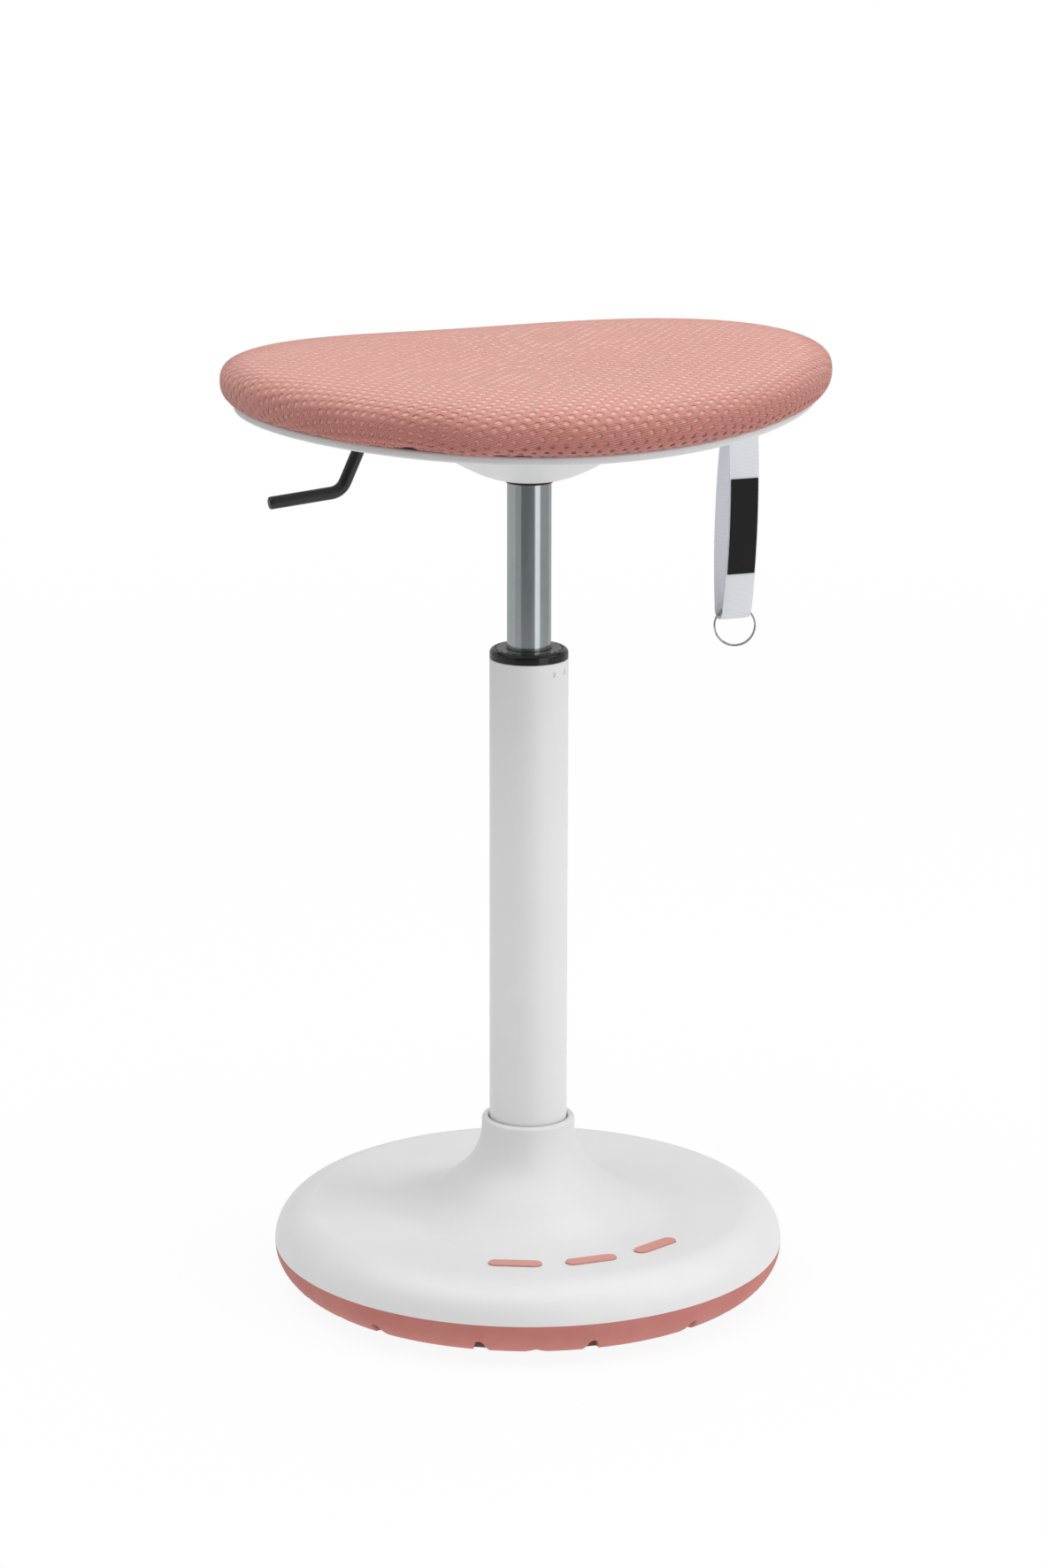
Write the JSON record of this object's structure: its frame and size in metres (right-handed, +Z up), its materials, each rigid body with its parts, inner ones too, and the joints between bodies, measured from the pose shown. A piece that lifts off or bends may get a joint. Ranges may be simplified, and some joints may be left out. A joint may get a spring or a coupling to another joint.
{
  "type": "wobble stool",
  "caption": "Height-adjustable rocking stool: saddle seat in spacer mesh, gas lift with release lever, carrying strap, weighted round base on a rocker sole.",
  "frame": {"origin": "on the floor, under the middle of the column", "axes": "+Z up along the column; the seat's front faces -Y, its release lever points to -X and its carrying strap hangs at +X"},
  "size_m": [0.386, 0.33, 0.6136],
  "materials": {
    "white_plastic": "satin moulded plastic",
    "salmon_plastic": "glossy moulded plastic",
    "terracotta_rubber": "matt moulded rubber",
    "steel_plate": "mill finish",
    "cast_iron": "as cast",
    "zinc_steel": "zinc plated",
    "white_paint": "satin powder coat",
    "black_plastic": "moulded plastic",
    "turned_aluminium": "turned",
    "bearing_steel": "ground and hardened",
    "chromed_steel": "bright chrome",
    "black_rubber": "matt",
    "cylinder_steel": "drawn and polished lengthwise",
    "black_paint": "textured powder coat",
    "plywood": "raw moulded plywood",
    "seat_foam": "open-cell foam",
    "salmon_mesh": "knitted spacer mesh",
    "grey_webbing": "light grey ribbed webbing",
    "woven_label": "woven"
  },
  "bodies": {
    "base": {"base_cover": "white_plastic", "cover_inlays": "salmon_plastic", "rubber_sole": "terracotta_rubber", "base_plate": "steel_plate", "column_socket": "steel_plate", "ballast_ring": "cast_iron", "cover_screws": "zinc_steel", "column_tube": "white_paint", "column_end_plate": "steel_plate", "guide_bush": "black_plastic", "lower_bearing_washer": "bearing_steel"},
    "rod": {"piston_rod": "chromed_steel", "retaining_clip": "zinc_steel", "bearing_balls": "bearing_steel", "ball_cage": "black_plastic", "upper_bearing_washer": "bearing_steel", "rubber_bumper": "black_rubber", "piston": "turned_aluminium", "piston_ring": "black_rubber"},
    "seat": {"pressure_tube": "cylinder_steel", "inner_cylinder": "cylinder_steel", "rod_guide": "black_plastic", "valve_body": "turned_aluminium", "dust_ring": "black_rubber", "cone_socket": "steel_plate", "lift_housing": "black_paint", "mounting_plate": "steel_plate", "plate_bolts": "zinc_steel", "tee_nuts": "zinc_steel", "seat_board": "plywood", "seat_foam": "seat_foam", "seat_cover": "salmon_mesh", "seat_shell": "white_plastic", "shell_screws": "zinc_steel", "strap_bracket": "black_paint", "bracket_screws": "zinc_steel"},
    "lever": {"release_lever": "black_paint"},
    "pin": {"release_pin": "chromed_steel"},
    "strap": {"carry_strap": "grey_webbing", "strap_label": "woven_label"},
    "ring": {"split_ring": "chromed_steel"}
  },
  "joints": [
    {"name": "seat_swivel", "type": "hinge", "parent": "base", "child": "rod", "pos_m": [0, 0, 0], "axis": [0, 0, 1], "continuous": true},
    {"name": "height_slide", "type": "slide", "parent": "rod", "child": "seat", "axis": [0, 0, 1], "range_m": [-0.09, 0.11]},
    {"name": "lever_tilt", "type": "hinge", "parent": "seat", "child": "lever", "pos_m": [-0.045, 0, 0.564], "axis": [0, 1, 0], "range_deg": [0, 3], "stiffness_Nm_per_rad": 2, "springref_deg": -5.73},
    {"name": "pin_press", "type": "slide", "parent": "seat", "child": "pin", "axis": [0, 0, 1], "range_m": [-0.0024, 0]},
    {"name": "strap_swing", "type": "hinge", "parent": "seat", "child": "strap", "pos_m": [0.144, 0, 0.566], "axis": [1, 0, 0], "range_deg": [-75, 75]},
    {"name": "ring_swing", "type": "hinge", "parent": "strap", "child": "ring", "pos_m": [0.144, 0, 0.4376], "axis": [1, 0, 0], "range_deg": [-60, 60]}
  ],
  "couplings": [
    {"joint": "pin_press", "follows": "lever_tilt", "m_per_rad": -0.045}
  ]
}
